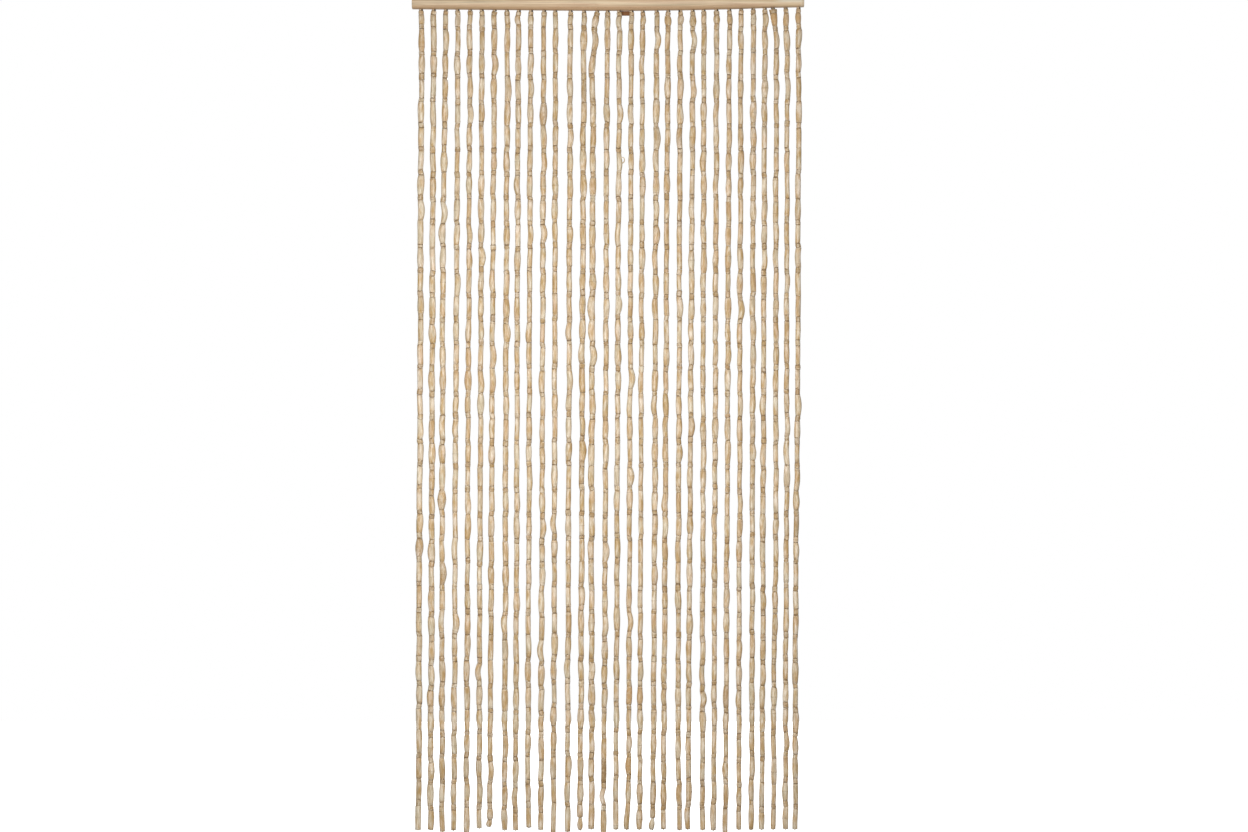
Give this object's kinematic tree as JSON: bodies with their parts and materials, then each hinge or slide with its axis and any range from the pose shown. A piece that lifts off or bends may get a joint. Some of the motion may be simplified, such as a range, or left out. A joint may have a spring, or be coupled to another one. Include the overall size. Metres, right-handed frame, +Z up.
{
  "type": "fly curtain of bead strings on a wooden rail",
  "caption": "Door fly curtain: strings of short and long natural cane beads hang side by side from a wooden rail with a flat back and a round front.",
  "frame": {"origin": "centre of the rail's flat back face, halfway up and along the rail", "axes": "+Z up along the strings, +Y out of the rail's back towards the wall, +X along the rail to the right as seen from the room"},
  "size_m": [0.9, 0.024, 1.9246],
  "materials": {
    "rail_wood": "pale planed softwood with lengthwise grain, thin satin lacquer",
    "cane_bead": "bleached cane root, straw to tan, smooth with a soft gloss and darker ends",
    "tab_brown": "dark red-brown stain, satin",
    "thread": "twisted brown thread of the strings and their knots, matt"
  },
  "bodies": {
    "root": {"rail": "rail_wood", "centre_tab": "tab_brown", "string_01": "cane_bead", "string_02": "cane_bead", "string_03": "cane_bead", "string_04": "cane_bead", "string_05": "cane_bead", "string_06": "cane_bead", "string_07": "cane_bead", "string_08": "cane_bead", "string_09": "cane_bead", "string_10": "cane_bead", "string_11": "cane_bead", "string_12": "cane_bead", "string_13": "cane_bead", "string_14": "cane_bead", "string_15": "cane_bead", "string_16": "cane_bead", "string_17": "cane_bead", "string_18": "cane_bead", "string_19": "cane_bead", "string_20": "cane_bead", "string_21": "cane_bead", "string_22": "cane_bead", "string_23": "cane_bead", "string_24": "cane_bead", "string_25": "cane_bead", "string_26": "cane_bead", "string_27": "cane_bead", "string_28": "cane_bead", "string_29": "cane_bead", "string_30": "cane_bead", "string_31": "cane_bead", "string_32": "cane_bead"}
  },
  "joints": []
}
